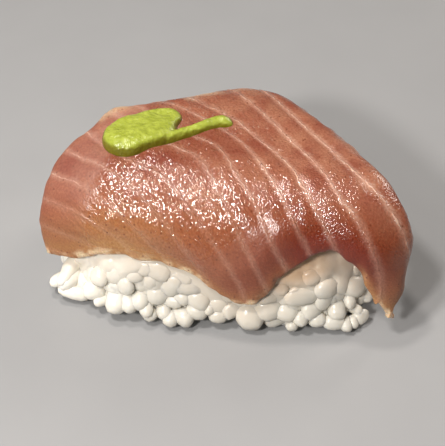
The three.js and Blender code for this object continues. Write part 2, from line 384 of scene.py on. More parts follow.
sliceShape = {
    "crownOffset": (1.6, 1.9),  # middle of the crown from the middle of the slice's box
    "crownHalf": 19.0,  # the crown is level for this far each way
    "crownSharpness": 5.0,
    "front": (3.0, 24.0, 72.0),  # the bend starts and ends at these distances, final slope in degrees
    "back": (4.0, 30.0, 52.0),
    "right": (0.0, 20.4, 78.0),
    "left": (1.0, 28.0, 66.0),
    "thickness": 4.2,
    "taper": 9.0,  # full thickness this far from the cut rim
    "rim": 1.1,  # thickness just inside it
    "rimRound": 0.5,  # the rim is rounded over this width below
    "frontRound": 0.8,  # and this one above, in front
    "edge": 4.0,  # elsewhere over this one, where the mesh is finer
    "edgeSteps": 14,
    "step": 0.30,  # mesh spacing between
    "length": 76.0,  # nominal flat size, for spacing the mesh
    "width": 40.0,
    "tendonPitch": 4.6,
    "tornTip": (36, -26, 7, 7),  # a spot: its middle and its reach each way
    # the first spot, over the arch's hollow, is painted shade
    "deepSpotsAndShade": [  # spots and their strengths
        (18, -18.5, 14, 6.5, 1.2), (-8, -1, 9, 4.5, 0.5), (-17, -8, 8, 3.5, 0.45), (4, -26, 7, 5, 0.4),
    ],
}

# flat outline, corner to corner, from the middle of the crown
frontEdge = [
    (-38.8, -22.4), (-31, -24.6), (-23.8, -24.2), (-15.8, -24.3), (-9.4, -25.1), (-4.8, -26.4), (-0.6, -29.4),
    (3.2, -31.1), (6.6, -29.6), (9.2, -25.2), (12.6, -21.4), (16.8, -18.4), (22.6, -20), (28, -25.3),
    (32.2, -27.7), (35.4, -27.9),
]
rightEdge = [(35.4, -27.9), (34.8, -19), (32.8, -11.6), (27.6, -5.2), (20, 2), (11.6, 9.8), (2.2, 18.2)]
backEdge = [(-31, -3.8), (-28, 0.6), (-25.6, 5.6), (-19.2, 8.6), (-12.8, 12), (-5.2, 17), (2.2, 18.2)]
leftEdge = [(-38.8, -22.4), (-38.8, -16.6), (-35.6, -10.2), (-31, -3.8)]

# pale tendon sheets where they meet the surface, from right to left, run on past the outline
tendonLines = [
    [(-3, 19), (3, 12.7), (9.3, 5.9), (15.5, -0.1), (20.8, -5.3),
     (25.3, -8.8), (28.2, -11.2), (34, -17), (38, -24)],
    [(-9, 18), (-2.8, 12.2), (3, 6.6), (8.8, 0.5), (14.6, -5.5),
     (18.1, -9.9), (21.5, -12.8), (28, -21), (32, -30)],
    [(-16, 13), (-9.8, 8.5), (-3.5, 5.5), (2.2, 0.9), (8.2, -4.4),
     (12.4, -9.8), (17.6, -16.4), (22, -24), (26, -34)],
    [(-20, 10), (-12.5, 6.5), (-6, 3.2), (-0.5, -0.4), (4.6, -6.3),
     (8.5, -11), (14.2, -18.9), (18, -26), (22, -36)],
    [(-24, 8), (-16, 3.4), (-9.7, -0.1), (-4.3, -2.6), (-0.2, -8),
     (4.1, -12.5), (9.8, -21.3), (13, -27), (17, -37)],
    [(-29, 6), (-18, -0.2), (-11.5, -3.7), (-6.3, -6.5), (2.3, -17.7), (5.4, -22.5), (8.6, -30), (12, -38)],
    [(-34, 4), (-25, -4), (-18.7, -7.9), (-11.6, -10.5), (-2, -19.2), (2.4, -25.4), (4.6, -32), (7, -40)],
    [(-38, 2), (-29.3, -6), (-22.3, -9.4), (-14, -14.5), (-7, -21), (-2.5, -28), (0, -34), (2, -41)],
    [(-42, -1), (-33, -8.8), (-27.2, -11.6), (-20.2, -15.6), (-13, -20.6), (-9, -26), (-6, -34), (-4, -42)],
    [(-46, -4), (-38, -11), (-31.9, -14), (-24.3, -17.6),
     (-18.6, -21.2), (-14.5, -26), (-12, -34), (-10, -43)],
]

crown = np.array([
    *((sliceBox[0] + sliceBox[1])[:2] / 2 + sliceShape["crownOffset"]),
    sliceBox[1][2] - sliceShape["thickness"] / 2,
])


# middle surface above flat places (s, t): level along the crown, then bending down over an arc whose
# slope is eased from nothing to its final angle, blended between the four sides by direction
def draped(flat, steps=24):
    s, t = flat[..., 0], flat[..., 1]
    p = sliceShape["crownSharpness"]
    along = s / sliceShape["crownHalf"]
    onCrown = s / (1 + np.abs(along) ** p) ** (1 / p)
    distance = np.hypot(s - onCrown, t) + 1e-9
    across, away = (s - onCrown) / distance, t / distance
    ways = {"front": -away, "back": away, "right": across, "left": -across}
    shares = {side: np.clip(way, 0, None) ** 2 for side, way in ways.items()}
    start, end, slope = (sum(share * sliceShape[side][k] for side, share in shares.items()) for k in range(3))
    out = np.zeros_like(distance)
    down = np.zeros_like(distance)
    for k in range(steps):
        angle = np.radians(slope) * ramp(distance * (k + 0.5) / steps, start, end)
        out += np.cos(angle) * distance / steps
        down += np.sin(angle) * distance / steps
    return np.stack([crown[0] + onCrown + across * out, crown[1] + away * out, crown[2] - down], -1)


# the draped point moved off along the surface's normal, from two small steps on the surface
def offSlice(flat, height, reach=0.05):
    alongS = draped(flat + (reach, 0)) - draped(flat - (reach, 0))
    alongT = draped(flat + (0, reach)) - draped(flat - (0, reach))
    return draped(flat) + unit(np.cross(alongS, alongT)) * height[..., None]


# flat place at u from left to right and v from front to back, blended from the four edges
def flatPlace(u, v):
    front, back = through(frontEdge, u), through(backEdge, u)
    left, right = through(leftEdge, v), through(rightEdge, v)
    u, v = u[..., None], v[..., None]
    nearCorners = (1 - u) * frontEdge[0] + u * frontEdge[-1]
    farCorners = (1 - u) * backEdge[0] + u * backEdge[-1]
    return (1 - v) * front + v * back + (1 - u) * left + u * right - (1 - v) * nearCorners - v * farCorners


# positions from 0 to 1 over a length: even in angle round the rim's quarter ellipse, even between
def rimSpacing(length):
    edge, steps = sliceShape["edge"], sliceShape["edgeSteps"]
    band = edge * (1 - np.cos(np.linspace(0, math.pi / 2, steps + 1))) / length
    middle = np.linspace(edge / length, 1 - edge / length, int((length - 2 * edge) / sliceShape["step"]))
    return np.concatenate([band[:-1], middle, 1 - band[-2::-1]])


# signed distance from each flat place to a smooth line through the points, positive to its right
def lineDistance(flat, points, places=90):
    line = through(points, np.linspace(0, 1, places))
    nearest = np.full(flat.shape[:-1], 1e9)
    for start, end in zip(line[:-1], line[1:]):
        step = end - start
        f = np.clip(((flat - start) @ step) / (step @ step), 0, 1)
        away = flat - start - f[..., None] * step
        gap = np.linalg.norm(away, axis=-1)
        right = np.sign(step[1] * away[..., 0] - step[0] * away[..., 1])
        nearest = np.where(gap < np.abs(nearest), right * gap, nearest)
    return nearest


# which tendon a flat place is nearest: whole numbers on the lines, in between by the two distances
def tendonBand(flat):
    gaps = [lineDistance(flat, points) for points in tendonLines]
    pitch = sliceShape["tendonPitch"]
    last = len(gaps) - 1
    band = np.where(gaps[0] < 0, gaps[0] / pitch, last + gaps[last] / pitch)
    for k in range(last):
        between = (gaps[k] >= 0) & (gaps[k + 1] < 0)
        band = np.where(between, k + gaps[k] / (gaps[k] - gaps[k + 1] + 1e-9), band)
    return band


# height of the flesh's own relief over flat places: blocks of muscle swell between the tendons, which
# stand as fine cords, and short fibres run across the blocks
def fleshRelief(flat, band):
    pitch = sliceShape["tendonPitch"]
    toTendon = np.abs(band - np.round(band)) * pitch
    wander = flat + 0.5 * np.stack([noiseAt(flat, 2.5, 11), noiseAt(flat, 2.5, 12)], -1)
    fibres = noiseAt(np.stack([band * pitch, (wander[..., 0] - wander[..., 1]) * 0.35], -1), 0.9, 5)
    swell = 0.16 * (1 - bell(toTendon, 1.1)) + 0.07 * bell(toTendon, 0.28)
    return swell + 0.22 * noiseAt(flat, 6.0, 3) + 0.12 * noiseAt(wander, 2.2, 4) + 0.035 * fibres


# how much of each tone and finish the flat places (s, t) have, each ramped in over a few millimetres
def sliceTones(flat, fromFront, fromBack, fromRight, torn):
    s, t = flat[..., 0], flat[..., 1]
    # tan, painted light showing through where the flesh thins: to the left, along the front rim and at the
    # torn tip
    tanLitThrough = 0.7 * ramp(t, -13, -22) * ramp(s, -4, -20) + 0.75 * ramp(fromFront, 5, 0) + 0.5 * torn
    # pale where the front rim is cut thinnest, but not round the arch, as painted highlight and light through
    # the thin edge; and where skins of tendon are left along the back
    patches = eased(0.3 + 1.1 * noiseAt(flat, 2.4, 41) + 0.9 * noiseAt(flat, 0.9, 45))
    litRimAndSkins = ramp(fromFront, 2.295, 0.595) * patches * (1 - ramp(s, 4, 8) * ramp(s, 28, 24))
    skins = ramp(fromBack, 3.84, 0.64) * eased(0.3 + 1.6 * noiseAt(flat * (0.5, 1), 1.5, 43))
    litRimAndSkins = np.maximum(litRimAndSkins, 0.65 * skins * ramp(s, 3, -3))
    # deep red in soft spots, at the left end and in a fringe on the right rim; the spot over the arch's
    # hollow and the darkening at the left end are painted shade
    deep = sum(strength * spot(flat, *place) for *place, strength in sliceShape["deepSpotsAndShade"])
    deep = (deep + 0.35 * ramp(s, -22, -30)) * (1 - 0.8 * ramp(fromFront, 3.5, 0) * ramp(s, 22, 26))
    fringe = ramp(fromRight, 0.9, 0) * eased(0.6 + 1.2 * noiseAt(flat, 1.4, 42))
    deep = np.maximum(deep, 0.8 * fringe)
    # tendons show best on top to the right, and soften down the drape
    cord = (0.45 + 0.35 * ramp(s, -6, 10)) * (1 - 0.5 * ramp(t, -8, -16))
    low = 0.85 * ramp(t, -9, -17)
    # wettest on the top and the bend, duller at the left end and down the drape
    downTo = 21 - 7 * ramp(s, -6, 6)
    wet = ramp(s - 0.35 * t, -22.5, -17) * (1 - 0.8 * ramp(-t, downTo - 3, downTo + 7))
    wet = np.maximum(wet * (1 - 0.7 * ramp(s, -26, -31)), 0.8 * litRimAndSkins)
    tones = {"tanLitThrough": tanLitThrough, "deep": deep, "cord": cord, "wet": wet, "low": low, "litRimAndSkins": litRimAndSkins}
    return {name: np.clip(tone, 0, 1) for name, tone in tones.items()}


# UV map "flat": the place on the flat slice in decimetres, moved to lie between 0 and 1
def addFlatMap(mesh, flat):
    corners = readRows(mesh.loops, "vertex_index", 1, int).ravel()
    layer = mesh.uv_layers.new(name="flat")
    layer.data.foreach_set("uv", (flat[corners] / 100 + 0.5).astype(np.float32).ravel())


# the slice: two sheets on one rim. The upper stands a crest off the middle surface, rounded at the ends
# and the back, with a small round and a long taper in front; the lower lies a depth below the crest
def buildSlice(material):
    shape = sliceShape
    edge, taper, thickness, rim = (shape[key] for key in ("edge", "taper", "thickness", "rim"))
    u, v = np.meshgrid(rimSpacing(shape["length"]), rimSpacing(shape["width"]), indexing="ij")
    flat = flatPlace(u, v)
    lengthAt = np.linalg.norm(through(rightEdge, v) - through(leftEdge, v), axis=-1)
    widthAt = np.linalg.norm(through(backEdge, u) - through(frontEdge, u), axis=-1)
    fromFront, fromBack, fromRight = v * widthAt, (1 - v) * widthAt, (1 - u) * lengthAt
    fromEnds, fromSides = np.minimum(u, 1 - u) * lengthAt, np.minimum(v, 1 - v) * widthAt
    fromRim = np.minimum(fromEnds, fromSides)
    # the knife's edge wanders, and the pointed corner in front is torn
    torn = spot(flat, *shape["tornTip"])
    wander = [
        (0.5 + 0.6 * torn) * noiseAt(flat, 3.1, 20 + k) + (0.28 + 1.1 * torn) * noiseAt(flat, 1.3, 30 + k)
        for k in (0, 1)
    ]
    flat = flat + np.stack(wander, -1) * ramp(fromRim, 3, 0)[..., None]
    rise = rounded(fromFront, shape["frontRound"])
    rise = rise * (0.25 + 0.75 * eased(0.15 + 0.85 * fromFront / taper))
    crest = thickness / 2 * rounded(fromEnds, edge) * rounded(fromBack, edge) * rise
    depth = rim * rounded(fromEnds, shape["rimRound"]) * rounded(fromSides, shape["rimRound"])
    depth = depth + (thickness - rim) * ramp(fromEnds, 0, taper) * ramp(fromSides, 0, taper)
    band = tendonBand(flat)
    upper = offSlice(flat, crest + fleshRelief(flat, band) * ramp(fromRim, 0, 2))
    lower = offSlice(flat, crest - depth)
    numbers = np.arange(u.size).reshape(u.shape)
    under = numbers.copy()
    inside = under[1:-1, 1:-1]
    inside[:] = u.size + np.arange(inside.size).reshape(inside.shape)
    points = np.concatenate([upper.reshape(-1, 3), lower[1:-1, 1:-1].reshape(-1, 3)])
    parts = sheetFaces(numbers) + [part[:, ::-1] for part in sheetFaces(under)]
    piece = makePiece("fishSlice", *joined([(points, parts)]), material)

    # a value at every point: those of the upper sheet, then those inside the lower one
    def both(values):
        return np.concatenate([values.ravel(), values[1:-1, 1:-1].ravel()])

    tones = {"band": band, **sliceTones(flat, fromFront, fromBack, fromRight, torn)}
    addAttributes(piece, {name: both(tone) for name, tone in tones.items()})
    addFlatMap(piece.data, np.stack([both(flat[..., 0]), both(flat[..., 1])], -1))
    # the underside at twice as many places, for what lies under it
    middles = (lower[1:] + lower[:-1]) / 2
    return piece, np.concatenate([lower.reshape(-1, 3), middles.reshape(-1, 3)])


bedShape = {
    "halfLength": 29.6,
    "halfWidth": 16.7,
    "squareness": 3.4,  # outline |x|^n + |y|^n = 1
    "turn": 3.0,  # degrees
    "height": 24.0,
    "widestAt": 3.0,  # level
    "foot": 0.94,  # size of the foot against the widest level
    "fullness": 1.8,
    "leftTaper": 0.011,  # the left end leans in by this share of its length for each mm up
    "coreInset": 0.45,  # the core lies this far inside the outer grains
    "cornerInset": 0.7,  # and this much further in at the corners
    "coreLevels": 23.2,
    "grainLength": 5.6,
    "grainWidth": 3.5,
    "grainBend": 0.3,
    "grainTaper": 0.14,
    "grainFlatness": (0.8, 0.95),
    "seed": 7,
    "outerInset": (1.1, 1.9),
    "outerSpacing": 2.6,
    "innerInset": (1.9, 2.6),  # a second layer fills the gaps in the outer one
    "innerSpacing": 2.1,
    "lowLevels": (2.0, 8.5),
    "highLevels": (7.5, 21.0),
    "tries": 6000,  # candidate places for each layer
    "plump": 1.35,  # width of a grain in front against what shows of it
    "stretch": 1.3,  # and its length
    "overhang": 1.2,  # how far the lowest stand out over the foot
    "headroom": 1.6,  # middles of grains stay this far below the slice
    "coreGap": 0.15,
    "skinGap": 0.1,
    "voxel": 0.32,
    "softening": (0.5, 6),  # share and rounds
}

# grains that stand out along the front and its ends: x, y and z in the bed, lean in the front view,
# length and width
frontGrains = [
    (-28.2, -11.4, 2.1, 20, 2.6, 2.0), (-25.9, -11.7, 5.5, 50, 5.8, 2.5), (-25.6, -12.3, 3.8, 35, 4.4, 2.5),
    (-24.9, -13.2, 1.2, -15, 4.7, 2.2), (-20.9, -14.5, 3.6, 0, 3.3, 2.9), (-19.8, -14.3, 7.3, 60, 3.3, 2.7),
    (-19.3, -15.2, 1.9, 20, 2.4, 1.6), (-16.6, -15.4, 2.6, 80, 4.4, 3.3), (-14.4, -15.8, 2.8, -70, 3.6, 2.7),
    (-12.1, -16, 4.1, 70, 3.6, 2.7), (-10.8, -16.1, 1.4, -60, 3.6, 2.2), (-9, -15.9, 5.5, 0, 3.3, 3.1),
    (-13.1, -15.1, 9.1, 10, 2.7, 2.2), (-11.2, -14.8, 10.9, 0, 2.6, 2.2), (-9.2, -14.7, 10.7, -30, 4.2, 3.3),
    (-11.1, -16.2, 2.6, 100, 3.6, 2.2), (-7.7, -16.3, 1.8, 100, 2.8, 2.2), (-6.3, -17.3, 1.1, 60, 2.6, 2.1),
    (-4.4, -16.8, 1.3, -30, 3.6, 2.6), (-6.3, -16.3, 4.7, -20, 3.3, 2), (-4.6, -15.3, 9.9, -20, 3.1, 2),
    (-3.7, -15.6, 8.1, -5, 5.1, 2.5), (-4.5, -16.2, 5.6, -30, 2.6, 2.2), (-1.7, -16, 5.3, -30, 4, 3.3),
    (-1.7, -16.3, 2.6, -10, 3.2, 2.5), (0.6, -16.4, 3.9, 90, 2.3, 1.7), (2, -16.2, 4.7, -20, 3.4, 2.7),
    (2.2, -16.3, 1.9, 0, 2.9, 2.2), (4.9, -16.3, 3.6, 40, 3.4, 2.4), (8.1, -16, 2.1, 90, 4.4, 4),
    (8.4, -16, 5.7, 0, 2.8, 2.4), (11.4, -15.8, 4.3, 30, 4.5, 3.5), (11.5, -15.6, 7.5, 42, 5.5, 2.2),
    (13.2, -15, 9.4, 90, 2.8, 2.3), (14.4, -15.7, 4, -20, 3.6, 2.9), (15.4, -15.7, 1.1, 90, 2.3, 1.9),
    (17.1, -15.5, 2.6, 60, 2.6, 2.2), (18.9, -15, 4.4, 20, 3.1, 2.8), (19.9, -14.9, 1.9, 0, 2.5, 2.2),
    (17, -14.8, 7.6, 10, 4.9, 3.1), (21.2, -13.2, 8.8, 90, 3.8, 3.5), (18.7, -13.1, 11.5, 30, 3.3, 2.7),
    (25.8, -11, 7.2, -10, 4.4, 3.1), (23.3, -13.6, 3.9, 95, 3.5, 2.6), (25.3, -12.3, 5.4, 110, 3.4, 1.9),
    (26.1, -11.9, 2.4, -25, 3.4, 1.5), (23, -14.5, 1.2, 0, 3.4, 2.3), (25, -14.3, 0.9, 90, 2.4, 1.7),
    (26.3, -13.6, 0.9, 80, 2, 1.7), (27.6, -12.5, 1.2, 0, 2.6, 2.2), (28.2, -9.2, 3.4, 90, 2.4, 1.8),
]


# size of the mound at a level: an eased foot, then a quarter of |r|^n + |z|^n = 1 up to the top, where
# n grows from 2 in front to make it fuller behind, where the slice lies level
def moundScale(z, angle):
    low, height = bedShape["widestAt"], bedShape["height"]
    foot = bedShape["foot"] + (1 - bedShape["foot"]) * rounded(z, low)
    n = 2 + bedShape["fullness"] * ramp(np.sin(angle), -0.3, 0.5) * ramp(np.cos(angle), 0.4, 0)
    rise = np.clip(z - low, 0, None) / (height - low)
    return np.where(z < low, foot, np.clip(1 - rise ** n, 0, 1) ** (1 / n))


# turns places in the bed's own frame, and moves them to its foot
def placeBed(points):
    turn = math.radians(bedShape["turn"])
    x, y, z = points[..., 0], points[..., 1], points[..., 2]
    turned = [x * math.cos(turn) - y * math.sin(turn), x * math.sin(turn) + y * math.cos(turn), z]
    return restPoint + np.stack(turned, -1)


# mound surface at an angle round and a level up, set in by a distance
def moundPoint(angle, z, inset=0.0):
    n = bedShape["squareness"]
    reach = (np.abs(np.cos(angle)) ** n + np.abs(np.sin(angle)) ** n) ** (-1 / n) * moundScale(z, angle)
    x = (bedShape["halfLength"] - inset) * reach * np.cos(angle)
    y = (bedShape["halfWidth"] - inset) * reach * np.sin(angle)
    x = np.where(x < 0, x * (1 - bedShape["leftTaper"] * z), x)
    return placeBed(np.stack([x, y, z], -1))


# points moved in towards the mound's core by a share of how far they stand off it
def pressed(points, share):
    turn, n = math.radians(bedShape["turn"]), bedShape["squareness"]
    x, y, z = (points - restPoint).T
    x, y = x * math.cos(turn) + y * math.sin(turn), y * math.cos(turn) - x * math.sin(turn)
    alongX, alongY = x / bedShape["halfLength"], y / bedShape["halfWidth"]
    size = (np.abs(alongX) ** n + np.abs(alongY) ** n) ** (1 / n)
    radius = np.hypot(x, y) + 1e-6
    skin = radius * moundScale(z, np.arctan2(alongY, alongX)) / np.maximum(size, 1e-6) - bedShape["coreInset"]
    moved = 1 - share * np.clip(radius - skin, 0, None) / radius
    return placeBed(np.stack([x * moved, y * moved, z], -1))


roofGrid = {"cell": 0.3, "low": (-45.0, -30.0), "count": (300, 200), "clear": 99.0}


# a height map over the floor, in cells: mean level of the slice's underside, high where it doesn't reach
def roofMap(under):
    cells = np.floor((under[..., :2] - roofGrid["low"]) / roofGrid["cell"]).astype(int).reshape(-1, 2)
    wide, deep = roofGrid["count"]
    number = cells[:, 0] * deep + cells[:, 1]
    hits = np.bincount(number, minlength=wide * deep)
    total = np.bincount(number, under[..., 2].ravel(), wide * deep)
    return np.where(hits > 0, total / np.maximum(hits, 1), roofGrid["clear"]).reshape(wide, deep)


# the roof map carried on past its edge: beyond it, level of the nearest roof plus the way to it
def roofReach(roof, rounds=24):
    reach = roof.copy()
    for _ in range(rounds):
        for axis in (0, 1):
            for step in (-1, 1):
                reach = np.minimum(reach, np.roll(reach, step, axis) + roofGrid["cell"])
    return reach


# level of the roof over each point, blended between four cells
def roofOver(roof, points):
    places = (points[..., :2] - roofGrid["low"]) / roofGrid["cell"] - 0.5
    cells = np.clip(np.floor(places).astype(int), 0, np.array(roofGrid["count"]) - 2)
    f = np.clip(places - cells, 0, 1)
    i, j = cells[..., 0], cells[..., 1]
    left = roof[i, j] * (1 - f[..., 1]) + roof[i, j + 1] * f[..., 1]
    right = roof[i + 1, j] * (1 - f[..., 1]) + roof[i + 1, j + 1] * f[..., 1]
    return left * (1 - f[..., 0]) + right * f[..., 0]


# 1 against the slice, 0 from a distance off
def nearSlice(reach, points, distance=7.0):
    return ramp(roofOver(reach, points) - points[..., 2], distance, 0)


# faces of a closed form on a ring of lines: the last index runs along and the first round, then come a
# point at each end
def ringFaces(around, rings):
    ring = np.arange(around * rings).reshape(around, rings)
    ring = np.concatenate([ring, ring[:1]])
    tail, head = around * rings, around * rings + 1
    caps = [(tail, ring[k + 1, 0], ring[k, 0]) for k in range(around)]
    caps += [(head, ring[k, -1], ring[k + 1, -1]) for k in range(around)]
    return gridFaces(ring), np.array(caps)


# one grain along x, 2 long and 2 across: a superellipsoid with blunt ends
def grainShape(around=12, rings=5):
    turns = np.linspace(0, 2 * math.pi, around, endpoint=False)
    leans = np.linspace(0, math.pi, rings + 2)[1:-1]
    turn, lean = np.meshgrid(turns, leans, indexing="ij")
    along = -np.sign(np.cos(lean)) * np.abs(np.cos(lean)) ** 0.85
    girth = np.sin(lean) ** 0.8
    points = np.stack([along, girth * np.cos(turn), girth * np.sin(turn)], -1).reshape(-1, 3)
    return np.concatenate([points, [(-1, 0, 0), (1, 0, 0)]]), *ringFaces(around, rings)


# many grains at once: the one grain scaled to each length and width, bent by x^2, tapered by x and laid
# along its axis, no lower than the table
def manyGrains(centres, axis, side, lengths, widths, rng):
    shape = bedShape
    points, quads, caps = grainShape()
    x, y, z = (points[None, :, k] for k in range(3))
    number = len(centres)
    up = np.cross(axis, side)
    bend = rng.uniform(-shape["grainBend"], shape["grainBend"], (number, 1))
    along = x * lengths[:, None] / 2
    taper = 1 - shape["grainTaper"] * x * rng.uniform(-1, 1, (number, 1))
    across = y * widths[:, None] / 2 * taper + bend * (x ** 2 - 0.4)
    high = z * widths[:, None] / 2 * taper * rng.uniform(*shape["grainFlatness"], (number, 1))
    grains = centres[:, None] + along[..., None] * axis[:, None] + across[..., None] * side[:, None]
    grains = grains + high[..., None] * up[:, None]
    grains[..., 2] += np.clip(restPoint[2] + 0.02 - grains[..., 2].min(1), 0, None)[:, None]
    starts = (np.arange(number) * len(points))[:, None, None]
    return grains.reshape(-1, 3), [(quads + starts).reshape(-1, 4), (caps + starts).reshape(-1, 3)]


# scattered grains over the mound, none near another, lying mostly along its surface
def scatteredGrains(roof, placed, insets, spacing, levels, angles, rng):
    shape = bedShape
    angle = rng.uniform(*angles, shape["tries"])
    level = rng.uniform(*levels, shape["tries"])
    candidates = moundPoint(angle, level, rng.uniform(*insets, shape["tries"]))
    candidates = candidates[candidates[:, 2] < roofOver(roof, candidates) - shape["headroom"]]
    taken = [tuple(centre) for centre in placed]
    for centre in candidates:
        if np.min(np.sum((np.array(taken) - centre) ** 2, 1)) > spacing ** 2:
            taken.append(tuple(centre))
    centres = np.array(taken[len(placed):])
    outward = unit(centres - (restPoint + (0, 0, 6)))
    axis = rng.normal(size=centres.shape)
    axis = unit(axis - 0.75 * np.sum(axis * outward, 1, keepdims=True) * outward)
    side = unit(np.cross(outward, axis))
    lengths = shape["grainLength"] * rng.uniform(0.8, 1.12, len(centres))
    widths = shape["grainWidth"] * rng.uniform(0.85, 1.25, len(centres))
    return manyGrains(centres, axis, side, lengths, widths, rng)


# the grains in front, each from a row of what shows of it: the grain is wider and sits further in
def shownGrains(rng):
    shape = bedShape
    rows = np.array(frontGrains, float)
    centres = placeBed(rows[:, :3])
    lean = np.radians(rows[:, 3])[:, None]
    # lower ends stand out and upper ends sink in
    pitch = -0.5 * np.sin(lean) + rng.uniform(-0.2, 0.2, (len(rows), 1))
    seenRight, seenUp, seenBack = seenAxes()
    axis = np.cos(pitch) * (np.cos(lean) * seenRight + np.sin(lean) * seenUp) + np.sin(pitch) * seenBack
    side = unit(np.cross(seenBack, axis))
    widths = rows[:, 5] * shape["plump"]
    sunk = (widths - rows[:, 5]) / 2
    centres = centres + unit(restPoint + (0, 0, 7) - centres) * sunk[:, None]
    # the lowest stand off the table
    lifted = shape["overhang"] * ramp(rows[:, 2], 5, 2)
    centres = centres + lifted[:, None] * seenBack
    return centres, manyGrains(centres, axis, side, rows[:, 4] * shape["stretch"], widths, rng)


# the core: the mound set in, lowered under the slice
def coreShape(roof, reach):
    shape = bedShape
    around, levels = 160, np.concatenate([[0], np.linspace(1.2, shape["coreLevels"], 40)])
    turns = np.linspace(0, 2 * math.pi, around, endpoint=False)
    angle, level = np.meshgrid(turns, levels, indexing="ij")
    skin = moundPoint(angle, level)
    near = nearSlice(reach, skin)
    inset = shape["coreInset"] * (1 - 0.7 * near) + 3.0 * ramp(level, 2.4, 0)
    # further in at the corners, where the grains stand on a tighter curve
    inset = inset + shape["cornerInset"] * np.sin(2 * angle) ** 2 * (1 - near)
    inset = inset + 0.35 * near * noiseAt(skin, 2.6, 9)
    points = moundPoint(angle, level, inset)
    points[..., 2] = np.minimum(points[..., 2], roofOver(roof, points) - shape["coreGap"])
    ends = [points[:, 0].mean(0), points[:, -1].mean(0)]
    return np.concatenate([points.reshape(-1, 3), ends]), [*ringFaces(around, len(levels))]


# joins overlapping closed shapes into one skin by a voxel remesh: its points, faces and edges
def fused(shapes, voxel):
    points, faces = joined(shapes)
    mesh = bpy.data.meshes.new("loose")
    mesh.from_pydata((points * mm).tolist(), [], faces)
    loose = bpy.data.objects.new("loose", mesh)
    scene.collection.objects.link(loose)
    remesh = loose.modifiers.new("fuse", "REMESH")
    remesh.mode = "VOXEL"
    remesh.voxel_size = voxel * mm
    graph = bpy.context.evaluated_depsgraph_get()
    skin = bpy.data.meshes.new_from_object(loose.evaluated_get(graph))
    bpy.data.objects.remove(loose)
    quads = readRows(skin.loops, "vertex_index", 1, int).reshape(-1, 4)
    return readRows(skin.vertices, "co", 3) / mm, quads, readRows(skin.edges, "vertices", 2, int)


# moves each point a share of the way to the mean of its neighbours, over and over
def relaxed(points, edges, share, rounds):
    here, there = np.concatenate([edges, edges[:, ::-1]]).T
    degree = np.bincount(here)[:, None]
    for _ in range(rounds):
        total = [np.bincount(here, points[there, n]) for n in range(3)]
        points = points + share * (np.stack(total, -1) / degree - points)
    return points


# a shape pressed flat near the slice, and half flat over the upper part
def pressedNear(shape, reach):
    points, parts = shape
    near = np.maximum(nearSlice(reach, points, 8.5), 0.45 * ramp(points[:, 2], 3, 8))
    return pressed(points, near), parts


# how much of each tone the rice has: painted grey shade in front from the left end on, painted warm light
# and shade from the fish in the arch and close to the slice
def riceTones(points, reach):
    x, y, z = points.T
    shade = 0.5 * ramp(x, -26, -8) * ramp(x, 36, 24) * ramp(y, 4, -8)
    inArch = bell(x - 19, 9) * ramp(z, 6, 13) * ramp(y, 2, -4)
    # painted warm light and shade from the fish: strong in the arch, slight anywhere close to the slice
    fishLightAndShade = 0.75 * inArch * nearSlice(reach, points, 12.0) + 0.12 * nearSlice(reach, points, 10.0)
    return {"fishLightAndShade": fishLightAndShade, "tint": 0.5 + 0.5 * noiseAt(points, 3.2, 8), "shade": shade}


# the bed: a core melted together with the upper grains in front, and separate grains pressed into it
# round the foot and up the back
def buildRice(material, under):
    shape = bedShape
    rng = np.random.default_rng(shape["seed"])
    roof = roofMap(under)
    reach = roofReach(roof)
    centres, shown = shownGrains(rng)
    loose, soft = [shown], [coreShape(roof, reach)]
    allRound, behind, inFront = (0, 2 * math.pi), (0, math.pi), (math.pi, 2 * math.pi)
    for group, levels, angles in (
        (loose, shape["lowLevels"], allRound), (loose, shape["highLevels"], behind),
        (soft, shape["highLevels"], inFront),
    ):
        for placed, layer in ((centres, "outer"), ([(0, 0, 0)], "inner")):
            insets, spacing = shape[layer + "Inset"], shape[layer + "Spacing"]
            group.append(scatteredGrains(roof, placed, insets, spacing, levels, angles, rng))
    grains = joined([pressedNear(one, reach) for one in loose])
    skin, skinFaces, edges = fused([pressedNear(one, reach) for one in soft], shape["voxel"])
    core = joined([(relaxed(skin, edges, *shape["softening"]), [skinFaces])])
    pieces = []
    for name, (points, faces) in (("riceCore", core), ("riceGrains", grains)):
        points[:, 2] = np.minimum(points[:, 2], roofOver(roof, points) - shape["skinGap"])
        points[:, 2] = np.maximum(points[:, 2], restPoint[2])
        pieces.append(makePiece(name, points, faces, material))
        addAttributes(pieces[-1], riceTones(points, reach))
    return pieces


dabShape = {
    "middle": (-18.2, -0.8),
    "outline": [
        (-24.6, -3.4), (-24.3, -1.2), (-22.5, 1.4), (-20.2, 3), (-18.4, 4.4), (-16.4, 5.3), (-14.2, 5.7),
        (-12.5, 4.9), (-11.8, 3.4), (-12.3, 1.5), (-12.3, -1.2), (-13.6, -3.6), (-15.8, -5.1), (-18, -6.7),
        (-20.1, -7.2), (-22.3, -6.7), (-24, -5.2),
    ],
    "backHeight": 1.3,  # level on top, so it is thicker where the fish falls away in front
    "frontHeight": 2.3,
    "flatness": 14.0,
    "hollows": [(-22.4, -1.8, 1.9, 1.6, 0.45), (-15.6, 3.4, 1.8, 1.0, 0.4)],  # spots and their depths
    "sunk": 0.5,  # into the fish
    "tail": [(-16.5, -4), (-14, -2.6), (-11.6, -0.9), (-8.4, 1.4), (-5.4, 3.6), (-2.6, 3.7)],
    "tailLength": 15.5,
    "tailHalfWidth": 1.15,
    "tailHeight": 1.5,
    "lumps": [(0.12, 1.6, 51), (0.08, 0.7, 52), (0.05, 0.4, 53)],  # height, size and seed
    "voxel": 0.16,
    "softening": (0.5, 4),
}


# closed shape on the slice, from its height over flat places down to a sunk foot that it meets all round
def onSlice(flat, height):
    top = sliceShape["thickness"] / 2
    upper = offSlice(flat, top + height)
    lower = offSlice(flat, np.full_like(height, top - dabShape["sunk"]))
    numbers = np.arange(height.size).reshape(height.shape)
    sheets = [gridFaces(numbers), gridFaces(numbers + height.size)[:, ::-1]]
    return np.concatenate([upper.reshape(-1, 3), lower.reshape(-1, 3)]), sheets


